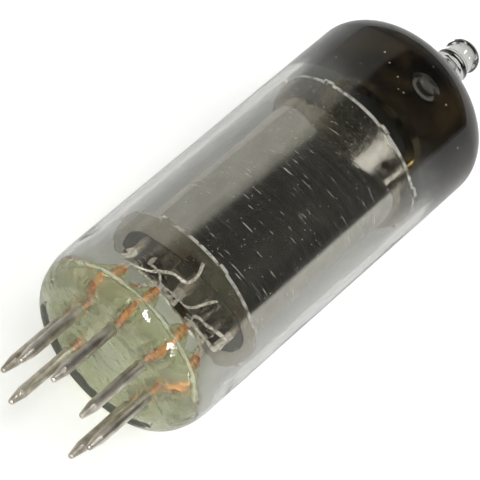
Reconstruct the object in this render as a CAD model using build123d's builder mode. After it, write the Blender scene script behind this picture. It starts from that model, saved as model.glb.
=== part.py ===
"""Seven-pin miniature radio tube (a screened pentode), lying on its side.

Millimetres.  The tube's axis is X.  The origin is the centre of the pin circle on the
outer face of the glass button, the pins point along -X and the sealed-off tip along +X.
Pin 4 is straight up (+Z), and the gap in the ring of pins is straight down.
"""

import os
from math import atan2, cos, degrees, radians, sin

from build123d import *

os.makedirs("parts", exist_ok=True)

# --- base and pins -----------------------------------------------------------------
pin_circle_diameter = 9.525
pin_pitch_angle = 45.0
pin_count = 7
top_pin = 4
pin_diameter = 1.016
pin_length = 7.1
pin_taper_length = 1.5
pin_end_diameter = 0.56
pin_depth_in_glass = 0.8
pin_recess_diameter = 1.2
pin_recess_depth = 0.1

# --- glass envelope ----------------------------------------------------------------
bulb_diameter = 17.6
bulb_wall = 0.8
bulb_headroom = 6.8
dome_height = 5.05
dome_wall = 0.85
skirt_height = 3.7
seal_height = 1.9
button_margin = 1.9375
button_thickness = 2.4
boss_base_diameter = 2.5
boss_top_diameter = 1.5
boss_height = 1.9

# --- sealed-off tip ----------------------------------------------------------------
tip_diameter = 3.3
tip_bore = 1.9
tip_neck_length = 3.6
tip_groove_depth = 0.3
tip_groove_width = 0.9
tip_root_lip = 0.3
tip_bore_taper = 1.6
tip_bead_length = 1.9
tip_end_wall = 2.4
tip_offset = 0.4

# --- wires through the button ------------------------------------------------------
dumet_diameter = 0.6
dumet_proud = 0.4
lead_diameter = 0.4
lead_first_run = 0.8
lead_last_run = 0.6
lead_bend_radius = 0.3

# --- mica spacers ------------------------------------------------------------------
mica_thickness = 0.3
mica_height = 9.0
mica_rim_gap = 0.3
mica_tooth_gap = 0.05
mica_tooth_width = 0.9
mica_teeth = 8

# --- electrodes (height is along Z, width along Y, measured from the axis) -----------
cage_length = 19.9
sheet_thickness = 0.2
shield_side_gap = 1.3
shield_face_gap = 1.1
shield_face_radius = 14.0
shield_notch = 0.45
shield_notch_reach = 4.2
shield_tab_width = 1.3
shield_tab_length = 1.0
anode_face_gap = 0.7
anode_face_radius = 8.0
anode_end_gap = 0.9
anode_rod_diameter = 0.7
anode_rod_gap = 1.25
grid_rod_diameter = 0.6
grid_end_gap = 1.0
rod_overhang = 1.6
suppressor_side_gap = 1.2
suppressor_face_gap = 0.7
suppressor_pitch = 1.8
suppressor_wire = 0.14
screen_side_gap = 1.0
screen_face_gap = 0.62
screen_pitch = 1.0
screen_wire = 0.12
control_reach = 1.95
control_half_height = 0.98
control_pitch = 0.75
control_wire = 0.1

# --- cathode and heater ------------------------------------------------------------
cathode_diameter = 1.2
cathode_wall = 0.06
cathode_overhang = 0.7
coating_thickness = 0.08
coating_length = 16.5
heater_diameter = 0.34
heater_spacing = 0.6
heater_top_gap = 1.6

# --- jumpers -----------------------------------------------------------------------
jumper_diameter = 0.3
jumper_gap = 0.3
jumper_drop = 0.6
jumper_bend = 0.5

# --- getter ------------------------------------------------------------------------
getter_ring_radius = 4.6
getter_channel_width = 1.0
getter_channel_height = 0.8
getter_channel_wall = 0.15
getter_fill_height = 0.35
getter_ring_gap = 3.5
getter_post_diameter = 0.4
getter_post_bend = 0.5
getter_post_clearance = 0.7
film_gap = 1.1
film_thickness = 0.06

# --- worked out from the sizes above -----------------------------------------------
pin_radius = pin_diameter / 2
dumet_radius = dumet_diameter / 2
lead_radius = lead_diameter / 2
bulb_radius = bulb_diameter / 2
bulb_bore = bulb_radius - bulb_wall
button_radius = pin_circle_diameter / 2 + button_margin
boss_end = button_thickness + boss_height
dumet_end = boss_end + dumet_proud
lower_mica_top = mica_height + mica_thickness
upper_mica_bottom = lower_mica_top + cage_length
upper_mica_top = upper_mica_bottom + mica_thickness
bulb_straight_end = upper_mica_top + bulb_headroom
dome_top = bulb_straight_end + dome_height
rod_start = mica_height - rod_overhang
rod_end = upper_mica_top + rod_overhang
screen_reach = control_reach + screen_side_gap
suppressor_reach = screen_reach + suppressor_side_gap
anode_rod_reach = suppressor_reach + anode_rod_gap
shield_half_width = anode_rod_reach + shield_side_gap
screen_half_height = control_half_height + screen_face_gap
suppressor_half_height = screen_half_height + suppressor_face_gap
anode_half_height = suppressor_half_height + anode_face_gap
shield_half_height = anode_half_height + shield_face_gap
anode_rod_radius = anode_rod_diameter / 2
grid_rod_radius = grid_rod_diameter / 2
anode_half_width = anode_rod_reach - anode_rod_radius
cathode_radius = cathode_diameter / 2
cathode_start = mica_height - cathode_overhang
cathode_end = upper_mica_top + cathode_overhang
grid_start = lower_mica_top + grid_end_gap
grid_end = upper_mica_bottom - grid_end_gap
heater_leg = heater_spacing / 2
tab_reach = shield_half_height - sheet_thickness / 2
tip_radius = tip_diameter / 2
tip_groove = dome_top + tip_neck_length
tip_end = tip_groove + tip_bead_length
tip_root = dome_top - dome_wall - tip_root_lip
tip_bore_end = tip_end - tip_end_wall
mica_rim_radius = bulb_bore - mica_rim_gap
jumper_bow = cathode_radius + jumper_drop
jumper_x = mica_height - jumper_gap - jumper_diameter / 2
getter_start = upper_mica_top + getter_ring_gap
film_start = upper_mica_top + film_gap


def pin_angle(number):
    """Angle of a pin in degrees, clockwise from straight up when seen from the pins' end."""
    return pin_pitch_angle * (number - top_pin)


def pin_place(number):
    """Y and Z of a pin's axis."""
    turn = radians(pin_angle(number))
    reach = pin_circle_diameter / 2
    return -reach * sin(turn), reach * cos(turn)


def across(x):
    """Plane square to the tube's axis at x, with its own X along Y and its own Y along Z."""
    return Plane(origin=(x, 0, 0), x_dir=(0, 1, 0), z_dir=(1, 0, 0))


def along(y, z):
    """Plane through a line parallel to the tube's axis: its own X is along X, its own Y along Z."""
    return Plane(origin=(0, y, z), x_dir=(1, 0, 0), z_dir=(0, -1, 0))


def oval_outline(half_width, half_height, face_radius):
    """Closed oval of four tangent arcs: two wide faces, and two tighter ends."""
    face_drop = face_radius - half_height
    narrowing = face_radius - half_width
    end_centre = (face_drop**2 - narrowing**2) / (2 * narrowing)
    end_radius = half_width - end_centre
    face_turn = degrees(atan2(end_centre, face_drop))
    end_turn = 90 - face_turn
    CenterArc((0, -face_drop), face_radius, end_turn, 2 * face_turn)
    CenterArc((-end_centre, 0), end_radius, 90 + face_turn, 2 * end_turn)
    CenterArc((0, face_drop), face_radius, 180 + end_turn, 2 * face_turn)
    CenterArc((end_centre, 0), end_radius, 270 + face_turn, 2 * end_turn)


def oval_tube(x, length, half_width, half_height, face_radius):
    """Thin-walled oval tube, added to the part that is open."""
    with BuildSketch(across(x)) as ring:
        with BuildLine():
            oval_outline(half_width, half_height, face_radius)
        make_face()
        with BuildLine():
            oval_outline(
                half_width - sheet_thickness,
                half_height - sheet_thickness,
                face_radius - sheet_thickness,
            )
        make_face(mode=Mode.SUBTRACT)
    extrude(ring.sketch, amount=length)


def bent_wire(points, radius, bend):
    """Round wire along straight runs with rounded corners, added to the part that is open."""
    with BuildLine() as route:
        FilletPolyline(*points, radius=bend)
    first_run = Vector(*points[1]) - Vector(*points[0])
    with BuildSketch(Plane(origin=points[0], z_dir=first_run)) as section:
        Circle(radius)
    sweep(section.sketch, path=route.wire())


def finish(piece, name):
    """Label a finished piece and write it to its own file."""
    piece.label = name
    export_step(piece, f"parts/{name}.step")


# --- glass -------------------------------------------------------------------------
with BuildPart() as glass_bulb:
    with BuildSketch(along(0, 0)):
        with BuildLine():
            TangentArc((skirt_height, bulb_radius), (0, button_radius), tangent=(-1, 0))
            Line((skirt_height, bulb_radius), (bulb_straight_end, bulb_radius))
            EllipticalCenterArc((bulb_straight_end, 0), dome_height, bulb_radius, 0, arc_size=90)
            Line((dome_top, 0), (dome_top - dome_wall, 0))
            EllipticalCenterArc(
                (bulb_straight_end, 0), dome_height - dome_wall, bulb_bore, 0, arc_size=90
            )
            Line((bulb_straight_end, bulb_bore), (button_thickness + seal_height, bulb_bore))
            TangentArc(
                (button_thickness + seal_height, bulb_bore),
                (button_thickness, button_radius),
                tangent=(-1, 0),
            )
            Line((button_thickness, button_radius), (0, button_radius))
        make_face()
    revolve(axis=Axis.X)
    with BuildSketch(across(bulb_straight_end)):
        with Locations((-tip_offset, 0)):
            Circle(tip_radius)
    extrude(amount=dome_height, mode=Mode.SUBTRACT)
finish(glass_bulb.part, "glass_bulb")

with BuildPart() as exhaust_tip:
    with BuildSketch(along(-tip_offset, 0)):
        with BuildLine():
            Polyline(
                (tip_root, tip_bore / 2),
                (tip_root, tip_radius),
                (tip_groove - tip_groove_width / 2, tip_radius),
            )
            ThreePointArc(
                (tip_groove - tip_groove_width / 2, tip_radius),
                (tip_groove, tip_radius - tip_groove_depth),
                (tip_groove + tip_groove_width / 2, tip_radius),
            )
            EllipticalCenterArc(
                (tip_groove + tip_groove_width / 2, 0),
                tip_bead_length - tip_groove_width / 2,
                tip_radius,
                0,
                arc_size=90,
            )
            Line((tip_end, 0), (tip_bore_end, 0))
            EllipticalCenterArc(
                (tip_bore_end - tip_bore_taper, 0), tip_bore_taper, tip_bore / 2, 0, arc_size=90
            )
            Line((tip_bore_end - tip_bore_taper, tip_bore / 2), (tip_root, tip_bore / 2))
        make_face()
    revolve(axis=Axis((0, -tip_offset, 0), (1, 0, 0)))
finish(exhaust_tip.part, "exhaust_tip")

pin_places = [pin_place(number) for number in range(1, pin_count + 1)]
boss_taper = degrees(atan2((boss_base_diameter - boss_top_diameter) / 2, boss_height))

with BuildPart() as glass_button:
    with BuildSketch(across(0)):
        Circle(button_radius)
    extrude(amount=button_thickness)
    with BuildSketch(across(button_thickness)):
        with Locations(*pin_places):
            Circle(boss_base_diameter / 2)
    extrude(amount=boss_height, taper=boss_taper)
    with BuildSketch(across(0)):
        with Locations(*pin_places):
            Circle(pin_recess_diameter / 2)
    extrude(amount=pin_recess_depth, mode=Mode.SUBTRACT)
    with BuildSketch(across(0)):
        with Locations(*pin_places):
            Circle(dumet_radius)
    extrude(amount=boss_end, mode=Mode.SUBTRACT)
finish(glass_button.part, "glass_button")

# --- pins, seals and inner leads ---------------------------------------------------
lead_targets = {
    1: control_reach,
    2: suppressor_reach,
    3: heater_leg,
    4: -heater_leg,
    5: -anode_rod_reach,
    6: -screen_reach,
    7: -suppressor_reach,
}

for number, (y, z) in enumerate(pin_places, start=1):
    with BuildPart() as pin:
        with BuildSketch(along(y, z)):
            with BuildLine():
                nose = pin_end_diameter / 2 - pin_length
                Polyline(
                    (-pin_length, 0),
                    (pin_depth_in_glass, 0),
                    (pin_depth_in_glass, dumet_radius),
                    (0, dumet_radius),
                    (0, pin_radius),
                    (pin_taper_length - pin_length, pin_radius),
                    (nose, pin_end_diameter / 2),
                )
                CenterArc((nose, 0), pin_end_diameter / 2, 90, 90)
            make_face()
        revolve(axis=Axis((0, y, z), (1, 0, 0)))
    finish(pin.part, f"pin_{number}")

    with BuildPart() as dumet_seal:
        with BuildSketch(across(pin_depth_in_glass)):
            with Locations((y, z)):
                Circle(dumet_radius)
        extrude(amount=dumet_end - pin_depth_in_glass)
    finish(dumet_seal.part, f"dumet_seal_{number}")

    target = lead_targets[number]
    with BuildPart() as inner_lead:
        bent_wire(
            [
                (dumet_end, y, z),
                (dumet_end + lead_first_run, y, z),
                (rod_start - lead_last_run, target, 0),
                (rod_start, target, 0),
            ],
            lead_radius,
            lead_bend_radius,
        )
    finish(inner_lead.part, f"inner_lead_{number}")

# --- mica spacers ------------------------------------------------------------------
tooth_reach = bulb_bore - mica_tooth_gap
tooth_root = mica_rim_radius - mica_rim_gap

for name, x in (("lower_mica", mica_height), ("upper_mica", upper_mica_bottom)):
    with BuildPart() as mica:
        with BuildSketch(across(x)):
            Circle(mica_rim_radius)
            with PolarLocations((tooth_reach + tooth_root) / 2, mica_teeth, 180 / mica_teeth):
                Rectangle(tooth_reach - tooth_root, mica_tooth_width)
            with Locations((-anode_rod_reach, 0), (anode_rod_reach, 0)):
                Circle(anode_rod_radius, mode=Mode.SUBTRACT)
            for reach in (suppressor_reach, screen_reach, control_reach):
                with Locations((-reach, 0), (reach, 0)):
                    Circle(grid_rod_radius, mode=Mode.SUBTRACT)
            Circle(cathode_radius, mode=Mode.SUBTRACT)
            with Locations((0, -tab_reach), (0, tab_reach)):
                Rectangle(shield_tab_width, sheet_thickness, mode=Mode.SUBTRACT)
        extrude(amount=mica_thickness)
    finish(mica.part, name)

# --- shield and anode --------------------------------------------------------------
with BuildPart() as shield:
    oval_tube(
        lower_mica_top, cage_length, shield_half_width, shield_half_height, shield_face_radius
    )
    tab_run = mica_thickness + shield_tab_length
    with BuildSketch(across(lower_mica_top - tab_run), across(upper_mica_bottom)):
        with Locations((0, -tab_reach), (0, tab_reach)):
            Rectangle(shield_tab_width, sheet_thickness)
    extrude(amount=tab_run)
    with BuildSketch(Plane.XY):
        for side in (-1, 1):
            with BuildLine():
                corner = side * shield_notch_reach
                Polyline(
                    (upper_mica_bottom, corner - shield_notch),
                    (upper_mica_bottom, corner + shield_notch),
                    (upper_mica_bottom - shield_notch, corner),
                    close=True,
                )
            make_face()
    extrude(amount=shield_half_height, both=True, mode=Mode.SUBTRACT)
finish(shield.part, "shield")

with BuildPart() as anode:
    oval_tube(
        lower_mica_top + anode_end_gap,
        cage_length - 2 * anode_end_gap,
        anode_half_width,
        anode_half_height,
        anode_face_radius,
    )
finish(anode.part, "anode")

for number, side in ((1, 1), (2, -1)):
    with BuildPart() as anode_rod:
        with BuildSketch(across(rod_start)):
            with Locations((side * anode_rod_reach, 0)):
                Circle(anode_rod_radius)
        extrude(amount=rod_end - rod_start)
    finish(anode_rod.part, f"anode_rod_{number}")

# --- grids -------------------------------------------------------------------------
grids = (
    ("suppressor_grid", suppressor_reach, suppressor_half_height, suppressor_pitch, suppressor_wire),
    ("screen_grid", screen_reach, screen_half_height, screen_pitch, screen_wire),
    ("control_grid", control_reach, control_half_height, control_pitch, control_wire),
)

for name, reach, half_height, pitch, wire in grids:
    turns = int((grid_end - grid_start - wire) / pitch) + 1
    with BuildPart() as grid:
        with BuildSketch(across(rod_start)):
            with Locations((-reach, 0), (reach, 0)):
                Circle(grid_rod_radius)
        extrude(amount=rod_end - rod_start)
        with BuildSketch(*[across(grid_start + turn * pitch) for turn in range(turns)]):
            half_width = reach + grid_rod_radius - wire
            Ellipse(half_width, half_height)
            Ellipse(half_width - wire, half_height - wire, mode=Mode.SUBTRACT)
        extrude(amount=wire)
    finish(grid.part, name)

# --- cathode and heater ------------------------------------------------------------
with BuildPart() as cathode_sleeve:
    with BuildSketch(across(cathode_start)):
        Circle(cathode_radius)
        Circle(cathode_radius - cathode_wall, mode=Mode.SUBTRACT)
    extrude(amount=cathode_end - cathode_start)
finish(cathode_sleeve.part, "cathode_sleeve")

with BuildPart() as cathode_coating:
    with BuildSketch(across(lower_mica_top + (cage_length - coating_length) / 2)):
        Circle(cathode_radius + coating_thickness)
        Circle(cathode_radius, mode=Mode.SUBTRACT)
    extrude(amount=coating_length)
finish(cathode_coating.part, "cathode_coating")

with BuildPart() as heater:
    with BuildLine() as hairpin:
        heater_bend = cathode_end - heater_top_gap
        Line((rod_start, heater_leg), (heater_bend, heater_leg))
        CenterArc((heater_bend, 0), heater_leg, 90, -180)
        Line((heater_bend, -heater_leg), (rod_start, -heater_leg))
    with BuildSketch(across(rod_start)):
        with Locations((heater_leg, 0)):
            Circle(heater_diameter / 2)
    sweep(path=hairpin.wire())
finish(heater.part, "heater")

# --- jumpers below the lower mica --------------------------------------------------
with BuildPart() as cathode_jumper:
    bent_wire(
        [
            (jumper_x, suppressor_reach, -grid_rod_radius),
            (jumper_x, suppressor_reach, -jumper_bow),
            (jumper_x, 0, -jumper_bow),
            (jumper_x, 0, -cathode_radius),
        ],
        jumper_diameter / 2,
        jumper_bend,
    )
finish(cathode_jumper.part, "cathode_jumper")

with BuildPart() as shield_jumper:
    bent_wire(
        [
            (jumper_x, -shield_tab_width / 2, -tab_reach),
            (jumper_x, screen_half_height - suppressor_reach, -tab_reach),
            (jumper_x, -suppressor_reach, -jumper_bow),
            (jumper_x, -suppressor_reach, -grid_rod_radius),
        ],
        jumper_diameter / 2,
        jumper_bend,
    )
finish(shield_jumper.part, "shield_jumper")

# --- getter ------------------------------------------------------------------------
post_reach = anode_rod_reach + anode_rod_radius + getter_post_diameter / 2
channel_inner = getter_ring_radius - getter_channel_width / 2
channel_outer = getter_ring_radius + getter_channel_width / 2
channel_floor = getter_start + getter_channel_wall
channel_rim = getter_start + getter_channel_height

with BuildPart() as getter_post:
    bent_wire(
        [
            (upper_mica_top, -post_reach, 0),
            (rod_end + getter_post_clearance, -post_reach, 0),
            (getter_start - getter_channel_height, -getter_ring_radius, 0),
            (getter_start, -getter_ring_radius, 0),
        ],
        getter_post_diameter / 2,
        getter_post_bend,
    )
finish(getter_post.part, "getter_post")

with BuildPart() as getter_ring:
    with BuildSketch(along(0, 0)):
        with BuildLine():
            Polyline(
                (getter_start, channel_inner),
                (channel_rim, channel_inner),
                (channel_rim, channel_inner + getter_channel_wall),
                (channel_floor, channel_inner + getter_channel_wall),
                (channel_floor, channel_outer - getter_channel_wall),
                (channel_rim, channel_outer - getter_channel_wall),
                (channel_rim, channel_outer),
                (getter_start, channel_outer),
                close=True,
            )
        make_face()
    revolve(axis=Axis.X)
finish(getter_ring.part, "getter_ring")

with BuildPart() as getter_fill:
    with BuildSketch(across(channel_floor)):
        Circle(channel_outer - getter_channel_wall)
        Circle(channel_inner + getter_channel_wall, mode=Mode.SUBTRACT)
    extrude(amount=getter_fill_height)
finish(getter_fill.part, "getter_fill")

with BuildPart() as getter_film:
    film_bore = bulb_bore - film_thickness
    film_rise = dome_height - dome_wall - film_thickness
    with BuildSketch(along(0, 0)):
        with BuildLine():
            Line((film_start, bulb_bore), (bulb_straight_end, bulb_bore))
            EllipticalCenterArc(
                (bulb_straight_end, 0), dome_height - dome_wall, bulb_bore, 0, arc_size=90
            )
            Line((dome_top - dome_wall, 0), (bulb_straight_end + film_rise, 0))
            EllipticalCenterArc((bulb_straight_end, 0), film_rise, film_bore, 0, arc_size=90)
            Polyline(
                (bulb_straight_end, film_bore), (film_start, film_bore), (film_start, bulb_bore)
            )
        make_face()
    revolve(axis=Axis.X)
    with BuildSketch(across(bulb_straight_end)):
        with Locations((-tip_offset, 0)):
            Circle(tip_radius)
    extrude(amount=dome_height, mode=Mode.SUBTRACT)
finish(getter_film.part, "getter_film")
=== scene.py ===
"""A seven-pin miniature radio tube lying on a pale studio floor.

Metres in Blender, millimetres in the sizes below.  The tube's axis is X, with its pins
toward -X and its sealed-off tip toward +X.  Pin 4 is straight up.
"""

from math import pi, radians

import bmesh
import bpy
import numpy as np
from mathutils import Matrix, Vector


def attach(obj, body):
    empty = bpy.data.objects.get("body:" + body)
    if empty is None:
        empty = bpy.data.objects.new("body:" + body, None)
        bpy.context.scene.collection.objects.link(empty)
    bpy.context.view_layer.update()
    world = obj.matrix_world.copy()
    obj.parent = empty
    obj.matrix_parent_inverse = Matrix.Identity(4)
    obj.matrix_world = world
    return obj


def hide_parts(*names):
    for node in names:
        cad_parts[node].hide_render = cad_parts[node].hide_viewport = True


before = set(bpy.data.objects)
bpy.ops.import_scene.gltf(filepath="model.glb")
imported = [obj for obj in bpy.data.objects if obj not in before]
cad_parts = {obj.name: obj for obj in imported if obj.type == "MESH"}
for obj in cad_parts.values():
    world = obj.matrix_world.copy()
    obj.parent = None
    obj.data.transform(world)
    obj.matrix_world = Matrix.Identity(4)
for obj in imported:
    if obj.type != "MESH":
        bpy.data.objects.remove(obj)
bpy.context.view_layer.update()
MM = 0.001

# --- sizes of the glass, the same as the CAD's ----------------------------------------
pin_ring = 9.525 / 2
pin_angles = radians(45.0) * (np.arange(1, 8) - 4)
pin_radius = 0.508
button_radius = 6.7
button_thickness = 2.4
boss_height = 1.9
boss_base = 1.25
boss_top = 0.75
bulb_radius = 8.8
bulb_bore = 8.0
skirt_height = 3.7
seal_top = 4.3
pressed_rim = 1.9
dome_start = 36.3
dome_rise = 5.05
dome_wall = 0.85
tip_radius = 1.65
tip_bore = 0.95
tip_offset = 0.4
tip_root = 40.2
tip_groove = 44.95
tip_end = 46.85
tip_bore_end = 44.45
film_start = 30.6


# --- mesh helpers ------------------------------------------------------------------


def surface(name, points, material):
    """A skin over a grid of points in mm: rows along the piece, columns all the way round it."""
    rows, columns = points.shape[:2]
    index = np.arange(rows * columns).reshape(rows, columns)
    across = np.roll(index, -1, axis=1)
    quads = np.stack([index[:-1], across[:-1], across[1:], index[1:]], axis=-1)
    mesh = bpy.data.meshes.new(name)
    mesh.from_pydata((points.reshape(-1, 3) * MM).tolist(), [], quads.reshape(-1, 4).tolist())
    shell = bmesh.new()
    shell.from_mesh(mesh)
    bmesh.ops.remove_doubles(shell, verts=shell.verts, dist=1e-7)
    shell.to_mesh(mesh)
    shell.free()
    mesh.shade_smooth()
    mesh.materials.append(material)
    piece = bpy.data.objects.new(name, mesh)
    bpy.context.collection.objects.link(piece)
    return piece


def arc(centre_x, centre_r, size_x, size_r, start, end, count):
    """Points (x, r) on an ellipse from one angle to another, measured from +X toward +r."""
    t = np.radians(np.linspace(start, end, count))
    return np.stack([centre_x + size_x * np.cos(t), centre_r + size_r * np.sin(t)], axis=1)


def line(start, end, count):
    """Points (x, r) evenly spaced on a straight line."""
    return np.linspace(start, end, count)


def smooth(value, low, high):
    """0 below low, 1 above high, and an S-curve between them."""
    t = np.clip((value - low) / (high - low), 0.0, 1.0)
    return t * t * (3.0 - 2.0 * t)


def lathe(profile, columns):
    """Each profile point (x, r) carried round the X axis: (x, r sin a, r cos a)."""
    angle = np.linspace(0.0, 2.0 * pi, columns, endpoint=False)
    x, radius = np.repeat(profile[:, :1], columns, axis=1), profile[:, 1:]
    return np.stack([x, -radius * np.sin(angle), radius * np.cos(angle)], axis=-1)


def shift_tip(points, radius, x):
    """Rings close to the axis at the tip end move aside by the tip's offset, others stay."""
    near = (1.0 - smooth(radius, 2.2, 5.0)) * smooth(x, 30.0, 36.0)
    points[..., 1] -= tip_offset * near
    return points


# --- node helpers ------------------------------------------------------------------


def new_material(name):
    """A material with its Principled shader and its own node tree."""
    material = bpy.data.materials.new(name)
    material.use_nodes = True
    return material, material.node_tree, material.node_tree.nodes["Principled BSDF"]


def add(tree, kind, links=None, **values):
    """A node with its input values set, and its inputs linked, both by input name."""
    node = tree.nodes.new(kind)
    for key, value in values.items():
        setattr(node, key, value)
    for key, value in (links or {}).items():
        if isinstance(value, bpy.types.NodeSocket):
            tree.links.new(value, node.inputs[key])
        else:
            node.inputs[key].default_value = value
    return node


def place(tree, stretch=(1.0, 1.0, 1.0)):
    """The point on the piece in mm, with each axis stretched."""
    coords = add(tree, "ShaderNodeTexCoord")
    scale = tuple(1000.0 * s for s in stretch)
    return add(
        tree, "ShaderNodeMapping", {"Vector": coords.outputs["Object"], "Scale": scale}
    ).outputs["Vector"]


def noise(tree, per_mm, detail=3.0, rough=0.55, stretch=(1.0, 1.0, 1.0)):
    """Smooth noise between 0 and 1, this many lumps to the mm."""
    texture = add(
        tree,
        "ShaderNodeTexNoise",
        {"Vector": place(tree, stretch), "Scale": per_mm, "Detail": detail, "Roughness": rough},
    )
    return texture.outputs["Fac"]


def specks(tree, per_mm, size):
    """1 in small round dots and 0 between them, this many to the mm."""
    cells = add(tree, "ShaderNodeTexVoronoi", {"Vector": place(tree), "Scale": per_mm})
    return remap(tree, cells.outputs["Distance"], size, size * 0.6, 0.0, 1.0)


def remap(tree, value, low, high, out_low=0.0, out_high=1.0):
    """A value's range low to high stretched to another range, and held at its ends."""
    node = add(
        tree,
        "ShaderNodeMapRange",
        {"Value": value, "From Min": low, "From Max": high, "To Min": out_low, "To Max": out_high},
        interpolation_type="SMOOTHSTEP",
    )
    return node.outputs["Result"]


def maths(tree, operation, a, b=0.0):
    """One sum on two values."""
    node = add(tree, "ShaderNodeMath", {0: a, 1: b}, operation=operation)
    return node.outputs["Value"]


def times(tree, a, b):
    """Two values multiplied."""
    return maths(tree, "MULTIPLY", a, b)


def larger(tree, a, b):
    """The larger of two values."""
    return maths(tree, "MAXIMUM", a, b)


def along_axis(tree):
    """Distance along the tube in mm."""
    return add(tree, "ShaderNodeSeparateXYZ", {"Vector": place(tree)}).outputs["X"]


def patches(tree, dots, per_mm, low, high):
    """Dots kept only in the patches where a coarser noise is high."""
    return times(tree, dots, remap(tree, noise(tree, per_mm), low, high))


def blend(tree, factor, a, b):
    """A colour between two colours."""
    node = add(tree, "ShaderNodeMix", data_type="RGBA")
    sockets = {s.identifier: s for s in node.inputs}
    for key, value in (("Factor_Float", factor), ("A_Color", a), ("B_Color", b)):
        if isinstance(value, bpy.types.NodeSocket):
            tree.links.new(value, sockets[key])
        else:
            sockets[key].default_value = value if key == "Factor_Float" else (*value, 1.0)
    return next(s for s in node.outputs if s.identifier == "Result_Color")


def bump(tree, height, depth_mm, normal=None):
    """Dents and ridges this many mm deep."""
    links = {"Height": height, "Distance": depth_mm * MM, "Strength": 1.0}
    if normal:
        links["Normal"] = normal
    return add(tree, "ShaderNodeBump", links).outputs["Normal"]


def set_finish(tree, shader, **sockets):
    """Sets or links the Principled shader's inputs, named with underscores for spaces."""
    for key, value in sockets.items():
        socket = shader.inputs[key.replace("_", " ")]
        if isinstance(value, bpy.types.NodeSocket):
            tree.links.new(value, socket)
        elif isinstance(value, tuple) and len(value) == 3 and socket.type == "RGBA":
            socket.default_value = (*value, 1.0)
        else:
            socket.default_value = value


def pass_lamps(tree, shader, tint):
    """Lets lamps shine straight through a clear shader, so that it casts a light shadow."""
    output = tree.nodes["Material Output"]
    path = add(tree, "ShaderNodeLightPath")
    clear = add(tree, "ShaderNodeBsdfTransparent", {"Color": (*tint, 1.0)})
    mix = add(
        tree,
        "ShaderNodeMixShader",
        {
            0: path.outputs["Is Shadow Ray"],
            1: shader.outputs[0],
            2: clear.outputs[0],
        },
    )
    tree.links.new(mix.outputs[0], output.inputs["Surface"])


def facing(tree, direction, either_way=False):
    """How far the surface faces a direction, fixed or itself a socket: 1 straight at it."""
    normal = add(tree, "ShaderNodeNewGeometry").outputs["Normal"]
    dot = add(tree, "ShaderNodeVectorMath", {0: normal, 1: direction}, operation="DOT_PRODUCT")
    return maths(tree, "ABSOLUTE", dot.outputs["Value"]) if either_way else dot.outputs["Value"]


# --- finishes ----------------------------------------------------------------------


def clear_glass():
    """Drawn glass: clear, very slightly grey, with faint waves along the tube and dust. The grey is
    partly its own cast, partly painted shade for the floor's shade seen through it.

    The waves are deeper beside the seal, where the glass was melted.
    """
    material, tree, shader = new_material("clear glass")
    waves = noise(tree, 0.35, 2.0, 0.4, (0.25, 1.0, 1.0))
    melted = noise(tree, 0.42, 1.5, 0.4, (1.5, 1.0, 1.0))
    melted = times(tree, melted, remap(tree, along_axis(tree), 7.5, 3.0))
    dust = patches(tree, specks(tree, 0.9, 0.06), 0.3, 0.5, 0.7)
    set_finish(
        tree,
        shader,
        # Painted shade: the grey tint darkens the floor seen through the glass, partly in place of
        # the tube's shade on it.
        Base_Color=blend(tree, noise(tree, 0.2), (0.73, 0.735, 0.715), (0.78, 0.78, 0.765)),
        Roughness=remap(tree, dust, 0.0, 1.0, 0.0, 0.25),
        IOR=1.5,
        Transmission_Weight=1.0,
        Normal=bump(tree, melted, 0.09, bump(tree, waves, 0.03)),
    )
    pass_lamps(tree, shader, (0.88, 0.88, 0.87))
    return material


def pressed_glass():
    """Pressed glass of the base: pale green, rippled, a little cloudy, paler in the middle."""
    material, tree, shader = new_material("pressed green glass")
    ripples = noise(tree, 0.85, 2.5, 0.5)
    off_axis = add(
        tree, "ShaderNodeVectorMath", {0: place(tree, (0.0, 1.0, 1.0))}, operation="LENGTH"
    ).outputs["Value"]
    middle = remap(tree, off_axis, 3.4, 2.0, 0.0, 0.42)
    green = blend(tree, noise(tree, 0.35), (0.58, 0.62, 0.36), (0.82, 0.85, 0.64))
    set_finish(
        tree,
        shader,
        Base_Color=blend(tree, middle, green, (0.92, 0.93, 0.86)),
        Roughness=remap(tree, noise(tree, 1.5), 0.35, 0.75, 0.0, 0.12),
        IOR=1.5,
        Transmission_Weight=0.84,
        Normal=bump(tree, ripples, 0.15),
    )
    pass_lamps(tree, shader, (0.88, 0.9, 0.8))
    return material


def getter_film():
    """Metal vapour deposit: dark brown, thinning out to smoke at its edge, with a few pale gold
    specks painted as glints.
    """
    material, tree, shader = new_material("getter film")
    split = add(tree, "ShaderNodeSeparateXYZ", {"Vector": place(tree)})
    x, y = split.outputs["X"], split.outputs["Y"]
    cloud = times(tree, noise(tree, 0.22, 3.0, 0.6), 4.0)
    edge = maths(tree, "ADD", maths(tree, "ADD", x, cloud), times(tree, y, 0.06))
    wall = remap(tree, edge, film_start + 1.0, film_start + 6.0, 0.0, 0.56)
    cap = remap(tree, x, dome_start + 0.8, dome_start + 4.0, 0.0, 0.45)
    depth = remap(tree, noise(tree, 0.3), 0.35, 0.65)
    brown = blend(tree, depth, (0.005, 0.004, 0.003), (0.036, 0.025, 0.012))
    # Painted glints: sparse pale gold specks in the dark film stand in for tiny bright glints.
    painted_glints = patches(tree, specks(tree, 1.1, 0.11), 0.5, 0.48, 0.56)
    set_finish(
        tree,
        shader,
        Base_Color=blend(tree, painted_glints, brown, (0.8, 0.7, 0.46)),
        Specular_IOR_Level=0.04,
        Roughness=remap(tree, noise(tree, 1.2), 0.3, 0.7, 0.06, 0.2),
        Alpha=maths(tree, "ADD", wall, cap),
    )
    return material


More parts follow.
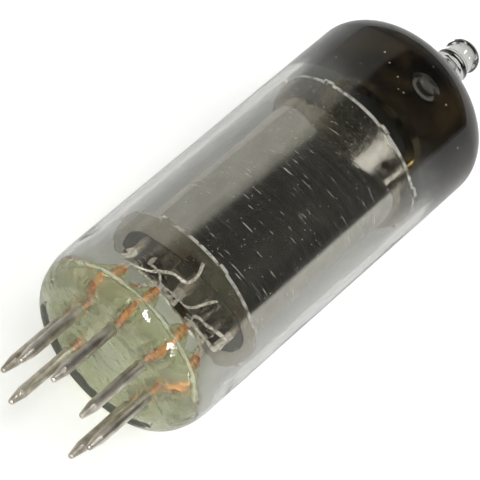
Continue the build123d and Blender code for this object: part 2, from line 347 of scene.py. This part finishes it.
def mica():
    """Mica sheet: a clear brownish flake with fine cleavage steps, and a painted highlight along
    its edges, broken into bright bits.
    """
    material, tree, shader = new_material("mica sheet")
    flakes = noise(tree, 0.5, 4.0, 0.65, (0.2, 1.0, 1.0))
    steps = noise(tree, 2.6, 5.0, 0.7, (0.2, 1.0, 0.45))
    rim = remap(tree, facing(tree, (1.0, 0.0, 0.0), True), 0.9, 0.6)
    # Painted highlight: the sheet's edges are lighter and less clear, in broken bits, for the glint
    # along the rim.
    painted_rim_glint = times(tree, rim, remap(tree, noise(tree, 1.4, 3.0), 0.35, 0.6, 0.45, 1.0))
    tint = blend(tree, flakes, (0.6, 0.54, 0.44), (0.84, 0.8, 0.72))
    dust = patches(tree, specks(tree, 2.4, 0.14), 0.7, 0.4, 0.6)
    dull = remap(tree, steps, 0.35, 0.75, 0.0, 0.12)
    set_finish(
        tree,
        shader,
        Base_Color=blend(tree, painted_rim_glint, tint, (0.93, 0.9, 0.84)),
        Roughness=larger(tree, dull, times(tree, dust, 0.5)),
        IOR=1.58,
        Transmission_Weight=remap(tree, larger(tree, painted_rim_glint, dust), 0.0, 1.0, 1.0, 0.4),
        Normal=bump(tree, steps, 0.016, bump(tree, flakes, 0.03)),
    )
    pass_lamps(tree, shader, (0.75, 0.68, 0.56))
    return material


def scratches(tree, per_mm, length):
    """1 on thin scratches that run round the tube, this many to the mm and this long."""
    across = 1.0 / (per_mm * length)
    return remap(tree, noise(tree, per_mm, 1.0, 0.4, (1.0, across, across)), 0.66, 0.77)


def metal(
    name,
    colour,
    dark,
    rough,
    grain_mm,
    grain_run=(1.0, 0.05, 0.05),
    pits_mm=0.0,
    wear=0.0,
    inside=None,
    metallic=1.0,
):
    """A bare metal: colour clouded toward a darker one, with drawn grain, pits and wear.

    Wear is dust in two sizes, long scratches and a thin haze, which hide some of the shine.
    Where it faces the tube's axis it takes the inside colour, if there is one: painted shade,
    darkening the faces inside the cage.
    """
    material, tree, shader = new_material(name)
    cloud = remap(tree, noise(tree, 0.7, 4.0), 0.3, 0.75)
    grain = noise(tree, 14.0, 3.0, 0.6, grain_run)
    tone = blend(tree, cloud, colour, dark)
    tone = blend(tree, remap(tree, grain, 0.35, 0.8, 0.0, 0.45), tone, dark)
    normal = bump(tree, grain, grain_mm)
    if pits_mm:
        normal = bump(tree, noise(tree, 5.0, 4.0, 0.7), pits_mm, normal)
    streaks = noise(tree, 2.5, 4.0, 0.6, grain_run)
    roughness = remap(tree, streaks, 0.25, 0.75, rough * 0.7, rough * 1.4)
    if wear:
        coarse = patches(tree, specks(tree, 2.2, 0.12), 0.6, 0.42, 0.58)
        fine = patches(tree, specks(tree, 5.5, 0.17), 1.3, 0.42, 0.6)
        dust = times(tree, larger(tree, coarse, times(tree, fine, 0.5)), wear)
        marks = scratches(tree, 5.0, 2.0)
        haze = remap(tree, noise(tree, 16.0, 2.0), 0.45, 0.75, 0.0, 0.05)
        hidden = larger(tree, times(tree, dust, 0.55), times(tree, marks, 0.45))
        tone = blend(tree, dust, tone, (0.9, 0.88, 0.82))
        metallic = maths(tree, "SUBTRACT", maths(tree, "SUBTRACT", 1.0, hidden), haze)
        normal = bump(tree, marks, 0.004, bump(tree, noise(tree, 9.0, 2.0), 0.0009, normal))
        roughness = larger(tree, roughness, times(tree, dust, 0.7))
        roughness = larger(tree, roughness, times(tree, marks, 0.4))
    if inside:
        # Painted shade: faces turned toward the tube's axis take the dark inside colour, for the
        # shade inside the cage.
        painted_shade_inward = remap(tree, facing(tree, place(tree, (0.0, 1.0, 1.0))), 0.2, -0.2)
        tone = blend(tree, painted_shade_inward, tone, inside)
        roughness = larger(tree, roughness, times(tree, painted_shade_inward, 0.5))
    set_finish(
        tree, shader, Base_Color=tone, Metallic=metallic, Roughness=roughness, Normal=normal
    )
    return material


def coating(name, colour, dark, rough, grain_mm):
    """A matt baked powder: lumpy, a little darker in places."""
    material, tree, shader = new_material(name)
    set_finish(
        tree,
        shader,
        Base_Color=blend(tree, noise(tree, 3.0, 4.0), colour, dark),
        Roughness=remap(tree, noise(tree, 6.0), 0.3, 0.7, rough * 0.85, rough),
        Normal=bump(tree, noise(tree, 12.0, 3.0), grain_mm),
    )
    return material


def dumet():
    """Copper-clad wire sealed in glass: bright copper broken by dark red oxide."""
    material, tree, shader = new_material("sealed copper wire")
    oxide = remap(tree, noise(tree, 2.2, 3.0, 0.6), 0.42, 0.62)
    set_finish(
        tree,
        shader,
        Base_Color=blend(tree, oxide, (0.85, 0.34, 0.1), (0.32, 0.07, 0.03)),
        Metallic=0.6,
        Roughness=remap(tree, noise(tree, 5.0), 0.3, 0.7, 0.3, 0.55),
        Normal=bump(tree, noise(tree, 6.0, 3.0), 0.03),
    )
    return material


finishes = {
    "clear_glass": clear_glass(),
    "button_glass": pressed_glass(),
    "getter_mirror": getter_film(),
    "mica": mica(),
    "polished_nickel": metal(
        "polished nickel sheet",
        colour=(0.8, 0.77, 0.71),
        dark=(0.66, 0.63, 0.57),
        rough=0.11,
        grain_mm=0.0015,
        grain_run=(1.0, 0.04, 0.04),
        wear=0.8,
        # Painted shade: the shield's inner faces are dark brown, for the shade inside the cage.
        inside=(0.09, 0.07, 0.045),
    ),
    "grey_anode": metal(
        "blackened nickel sheet",
        colour=(0.16, 0.15, 0.14),
        dark=(0.08, 0.075, 0.07),
        rough=0.5,
        grain_mm=0.003,
    ),
    "pin_nickel": metal(
        "dull drawn nickel",
        colour=(0.9, 0.85, 0.75),
        dark=(0.42, 0.38, 0.31),
        rough=0.4,
        grain_mm=0.004,
        grain_run=(0.05, 1.0, 1.0),
        pits_mm=0.035,
    ),
    "nickel_wire": metal(
        "bright nickel wire",
        colour=(0.96, 0.93, 0.86),
        dark=(0.6, 0.55, 0.47),
        rough=0.26,
        grain_mm=0.002,
        grain_run=(0.1, 1.0, 1.0),
        metallic=0.45,
    ),
    "grid_wire": metal(
        "grid wire", colour=(0.5, 0.47, 0.43), dark=(0.3, 0.28, 0.25), rough=0.28, grain_mm=0.001
    ),
    "getter_metal": metal(
        "getter steel", colour=(0.72, 0.62, 0.4), dark=(0.36, 0.28, 0.16), rough=0.2, grain_mm=0.003
    ),
    "getter_residue": coating("spent getter", (0.2, 0.17, 0.14), (0.07, 0.06, 0.05), 0.8, 0.03),
    "oxide_coating": coating("oxide coating", (0.86, 0.85, 0.8), (0.7, 0.68, 0.62), 0.9, 0.01),
    "heater_coating": coating("alumina coating", (0.85, 0.83, 0.78), (0.6, 0.58, 0.54), 0.9, 0.01),
    "dumet_copper": dumet(),
}


def slot_of(name):
    """The finish slot that each CAD node takes."""
    stems = (
        ("pin_", "pin_nickel"),
        ("dumet_seal", "dumet_copper"),
        ("lower_mica", "mica"),
        ("upper_mica", "mica"),
        ("shield_jumper", "nickel_wire"),
        ("shield", "polished_nickel"),
        ("anode_rod", "nickel_wire"),
        ("anode", "grey_anode"),
        ("suppressor", "grid_wire"),
        ("screen", "grid_wire"),
        ("control", "grid_wire"),
        ("cathode_coating", "oxide_coating"),
        ("heater", "heater_coating"),
        ("getter_fill", "getter_residue"),
        ("getter_film", "getter_mirror"),
        ("getter", "getter_metal"),
        ("glass_button", "button_glass"),
        ("glass", "clear_glass"),
        ("exhaust", "clear_glass"),
    )
    return next((slot for stem, slot in stems if name.startswith(stem)), "nickel_wire")


for name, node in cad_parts.items():
    node.data.materials.clear()
    node.data.materials.append(finishes[slot_of(name)])


# --- glass envelope ----------------------------------------------------------------


def beside_pins(points):
    """Distance of each point from the centre line of the nearest pin."""
    y = -pin_ring * np.sin(pin_angles)
    z = pin_ring * np.cos(pin_angles)
    away = np.hypot(points[..., 1, None] - y, points[..., 2, None] - z)
    return away.min(axis=-1)


def envelope():
    """Bulb, tip and base as one body of glass: an outer skin and the skin of the hollow.

    Each skin is a profile carried round the axis.  The outer face rises in a small collar
    round each pin.  The inner face rises in a cone with a rounded top round each wire.  The
    base, its rim and the root of the tip's bore are the pressed, cloudier glass.
    """
    columns = 240
    outer = np.concatenate(
        [
            line((0.0, 0.0), (0.0, button_radius), 60),
            arc(
                skirt_height, button_radius, skirt_height, bulb_radius - button_radius, 180, 90, 18
            )[1:],
            line((skirt_height, bulb_radius), (dome_start, bulb_radius), 12)[1:],
            arc(dome_start, 0.0, dome_rise, bulb_radius, 90, 14.5, 34)[1:],
            arc(41.95, 2.35, 0.75, 0.7, 205, 270, 6),
            line((42.3, tip_radius), (tip_groove - 0.9, tip_radius), 5),
            np.stack(
                [
                    np.linspace(tip_groove - 0.8, tip_groove + 0.5, 12),
                    tip_radius - 0.3 * np.sin(np.linspace(0.0, pi, 12)) ** 2,
                ],
                axis=1,
            ),
            arc(tip_groove + 0.6, 0.0, tip_end - tip_groove - 0.6, tip_radius, 88, 0, 16),
        ]
    )
    skin = lathe(outer, columns)
    away = beside_pins(skin)
    face = skin[..., 0] < 0.01
    collar = 0.2 * np.exp(-np.clip(away - pin_radius, 0.0, None) / 0.13)
    skin[..., 0] -= np.where(face, collar, 0.0)
    skin = shift_tip(skin, outer[:, 1:], outer[:, :1])

    inner = np.concatenate(
        [
            arc(tip_bore_end - 1.6, 0.0, 1.6, tip_bore, 0, 90, 12),
            line((42.8, tip_bore), (tip_root + 0.3, tip_bore), 6),
            arc(tip_root + 0.3, tip_bore + 0.3, 0.3, 0.3, 250, 110, 9),
            arc(dome_start, 0.0, dome_rise - dome_wall, bulb_bore, 16, 90, 34),
            line((dome_start, bulb_bore), (seal_top, bulb_bore), 12)[1:],
            arc(
                seal_top,
                button_radius,
                seal_top - button_thickness,
                bulb_bore - button_radius,
                90,
                180,
                12,
            )[1:],
            line((button_thickness, button_radius), (button_thickness, 0.0), 90)[1:],
        ]
    )
    hollow = lathe(inner, columns)
    away = beside_pins(hollow)
    slope = smooth(boss_base - away, 0.0, boss_base - boss_top + 0.25)
    face = (hollow[..., 0] < button_thickness + 0.01) & (inner[:, None, 1] < button_radius)
    hollow[..., 0] += np.where(face, boss_height * slope, 0.0)
    pad = 1.0 - smooth(np.repeat(inner[:, 1:], columns, axis=1), 2.1, 2.9)
    hollow[..., 0] += np.where(face, 0.35 * pad, 0.0)
    hollow = shift_tip(hollow, inner[:, 1:], inner[:, :1])

    glass = surface("glass_envelope", skin, finishes["clear_glass"])
    lining = surface("lining", hollow, finishes["clear_glass"])
    body = bmesh.new()
    body.from_mesh(glass.data)
    body.from_mesh(lining.data)
    body.to_mesh(glass.data)
    body.free()
    bpy.data.objects.remove(lining)
    glass.data.materials.append(finishes["button_glass"])
    middles = np.empty(len(glass.data.polygons) * 3)
    glass.data.polygons.foreach_get("center", middles)
    middles = middles.reshape(-1, 3) / MM
    reach = np.hypot(middles[:, 1], middles[:, 2])
    pressed = (middles[:, 0] < pressed_rim) | (
        (middles[:, 0] < seal_top) & (reach < button_radius - 0.05)
    )
    from_tip_axis = np.hypot(middles[:, 1] + tip_offset, middles[:, 2])
    root_of_bore = np.abs(middles[:, 0] - tip_root - 0.9) < 0.9
    pressed |= root_of_bore & (from_tip_axis < tip_bore + 0.1)
    glass.data.polygons.foreach_set("material_index", pressed.astype(np.int32))
    return glass


glass = envelope()
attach(glass, "root")
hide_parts("glass_bulb", "exhaust_tip", "glass_button")


# --- getter film -------------------------------------------------------------------


def film():
    """The deposit inside the dome: a thin shell just under the skin of the glass, so that no
    gap shows between them, closed at its rims."""
    sunk, depth = 0.04, 0.02
    rise = dome_rise - dome_wall + sunk
    radius = bulb_bore + sunk
    outside = np.concatenate(
        [
            line((film_start, radius), (dome_start, radius), 24),
            arc(dome_start, 0.0, rise, radius, 90, 11, 32)[1:],
        ]
    )
    inside = np.concatenate(
        [
            arc(dome_start, 0.0, rise - depth, radius - depth, 11, 90, 32),
            line((dome_start, radius - depth), (film_start, radius - depth), 24)[1:],
        ]
    )
    profile = np.concatenate([outside, inside, outside[:1]])
    points = shift_tip(lathe(profile, 160), profile[:, 1:], profile[:, :1])
    return surface("getter_deposit", points, finishes["getter_mirror"])


deposit = film()
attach(deposit, "root")
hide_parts("getter_film")


# --- link wires --------------------------------------------------------------------


def bent_wire(name, points, radius):
    """A round wire: a Catmull-Rom cubic through the points, with a circle carried along it.

    The circle's frame keeps to the wire's own best-fit plane, and both ends are closed.
    """
    spans, columns = 14, 16
    points = np.array(points)
    ends = (2 * points[:1] - points[1:2], 2 * points[-1:] - points[-2:-1])
    padded = np.concatenate([ends[0], points, ends[1]])[:, None]
    t = np.linspace(0.0, 1.0, spans, endpoint=False)[None, :, None]
    a, b, c, d = (padded[k : len(padded) - 3 + k] for k in range(4))
    curve = b + 0.5 * t * (c - a + t * (2 * a - 5 * b + 4 * c - d + t * (3 * b - a - 3 * c + d)))
    curve = np.concatenate([curve.reshape(-1, 3), points[-1:]])
    along = np.gradient(curve, axis=0)
    along /= np.linalg.norm(along, axis=1, keepdims=True)
    flat = np.linalg.svd(curve - curve.mean(axis=0), full_matrices=False)[2][2]
    side = np.cross(along, flat)
    side /= np.linalg.norm(side, axis=1, keepdims=True)
    other = np.cross(along, side)
    turn = np.linspace(0.0, 2.0 * pi, columns, endpoint=False)[None, :, None]
    tube = curve[:, None] + radius * (side[:, None] * np.cos(turn) + other[:, None] * np.sin(turn))
    start, end = (np.repeat(p[None, None], columns, axis=1) for p in (curve[0], curve[-1]))
    return surface(name, np.concatenate([start, tube, end]), finishes["nickel_wire"])


# Thin tails of wire welded to the leads under the lower mica: each one's radius and points.
link_wires = {
    "link_wire_1": (
        0.15,
        (
            (5.3, 3.37, 3.37),
            (6.5, 1.94, 3.6),
            (7.4, 1.3, 3.4),
            (7.5, 0.22, 4.23),
            (7.8, -0.95, 4.0),
            (8.5, -1.35, 5.05),
            (9.0, -1.2, 6.1),
        ),
    ),
    "link_wire_2": (
        0.13,
        (
            (5.3, -3.37, 3.37),
            (6.5, -3.1, 2.86),
            (7.5, -3.99, 1.5),
            (8.0, -4.8, 0.9),
            (8.3, -5.7, 0.3),
            (7.8, -5.55, 0.5),
            (7.6, -5.4, 0.3),
        ),
    ),
    "link_wire_3": (
        0.13,
        (
            (5.4, 0.0, 4.76),
            (6.2, -0.7, 3.8),
            (7.0, -1.7, 2.2),
            (7.8, -2.1, 1.6),
            (8.5, -2.6, 2.0),
            (9.0, -3.4, 2.9),
        ),
    ),
    "link_wire_4": (
        0.12,
        ((5.4, 0.1, 4.76), (6.4, 1.0, 4.6), (7.2, 2.4, 3.4), (8.0, 3.0, 1.9), (9.0, 3.2, 1.3)),
    ),
}
for name, (radius, points) in link_wires.items():
    wire = bent_wire(name, points, radius)
    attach(wire, "root")


# --- floor, lights and camera --------------------------------------------------------


def floor():
    """A wide pale sheet under the tube, washed out to white where it is seen directly."""
    mesh = bpy.data.meshes.new("floor")
    reach, level = 6.0, -bulb_radius * MM
    sides = ((-reach, -reach), (reach, -reach), (reach, reach), (-reach, reach))
    corners = [(x, y, level) for x, y in sides]
    mesh.from_pydata(corners, [], [(0, 1, 2, 3)])
    sheet = bpy.data.objects.new("floor", mesh)
    bpy.context.collection.objects.link(sheet)
    material, tree, shader = new_material("pale floor")
    seen = add(tree, "ShaderNodeLightPath").outputs["Is Camera Ray"]
    set_finish(
        tree,
        shader,
        Base_Color=(0.8, 0.8, 0.79),
        Roughness=0.9,
        Emission_Color=(1.0, 1.0, 1.0),
        Emission_Strength=maths(tree, "MULTIPLY", seen, 0.42),
    )
    mesh.materials.append(material)
    return sheet


def soft_lamp(name, toward, distance, size, power, seen_in_gloss):
    """A round soft lamp, aimed at the middle of the tube from a direction.

    It either lights matt surfaces or gives the glints on glass and metal.
    """
    data = bpy.data.lights.new(name, "AREA")
    data.shape = "DISK"
    data.size = size
    data.energy = power
    lamp = bpy.data.objects.new(name, data)
    away = Vector(toward).normalized()
    lamp.location = Vector((0.02, 0.0, 0.0)) + away * distance
    lamp.rotation_mode = "QUATERNION"
    lamp.rotation_quaternion = away.to_track_quat("Z", "Y")
    lamp.visible_glossy = seen_in_gloss
    lamp.visible_diffuse = not seen_in_gloss
    lamp.visible_transmission = seen_in_gloss
    lamp.visible_camera = False
    bpy.context.collection.objects.link(lamp)
    return lamp


def studio_walls():
    """The room: a dark ceiling over pale walls, tall on the +Y side and dim beyond the tip."""
    world = bpy.data.worlds.new("studio")
    bpy.context.scene.world = world
    world.use_nodes = True
    tree = world.node_tree
    background = tree.nodes["Background"]
    coords = add(tree, "ShaderNodeTexCoord")
    split = add(tree, "ShaderNodeSeparateXYZ", {"Vector": coords.outputs["Generated"]})
    up, side, along = split.outputs["Z"], split.outputs["Y"], split.outputs["X"]
    toward_tall_side = maths(tree, "ADD", side, times(tree, along, 0.5))
    wall_top = remap(tree, toward_tall_side, 0.1, 0.5, 0.05, 0.72)
    ceiling = remap(tree, maths(tree, "SUBTRACT", up, wall_top), -0.02, 0.03)
    beyond_tip = remap(tree, along, 0.51, 0.66)
    walls = blend(tree, beyond_tip, (0.56, 0.56, 0.53), (0.13, 0.125, 0.115))
    tone = blend(tree, ceiling, walls, (0.05, 0.05, 0.047))
    tree.links.new(tone, background.inputs["Color"])


def camera():
    """A long lens above the pin end, turned so that the tube runs up to the right."""
    data = bpy.data.cameras.new("camera")
    data.sensor_width = 36.0
    data.lens = 243.9
    data.clip_start, data.clip_end = 0.01, 50.0
    view = bpy.data.objects.new("camera", data)
    bpy.context.collection.objects.link(view)
    right = Vector((0.65951, -0.73210, 0.17049))
    up = Vector((0.56773, 0.63378, 0.52535))
    back = Vector((-0.49267, -0.24968, 0.83363))
    turn = Matrix((right, up, back)).transposed()
    view.matrix_world = Matrix.Translation((-0.11672, -0.06750, 0.22570)) @ turn.to_4x4()
    bpy.context.scene.camera = view


floor()
studio_walls()
soft_lamp("overhead", (0.1, -0.45, 1.0), 1.2, 1.6, 19.0, seen_in_gloss=False)
soft_lamp("glint over the pins", (-0.5, -0.15, 0.86), 0.9, 0.17, 6.0, seen_in_gloss=True)
soft_lamp("glint from the right", (-0.55, -0.85, 0.5), 0.9, 0.14, 2.5, seen_in_gloss=True)
camera()
bpy.context.scene.view_settings.view_transform = "Standard"
bpy.context.scene.view_settings.look = "None"
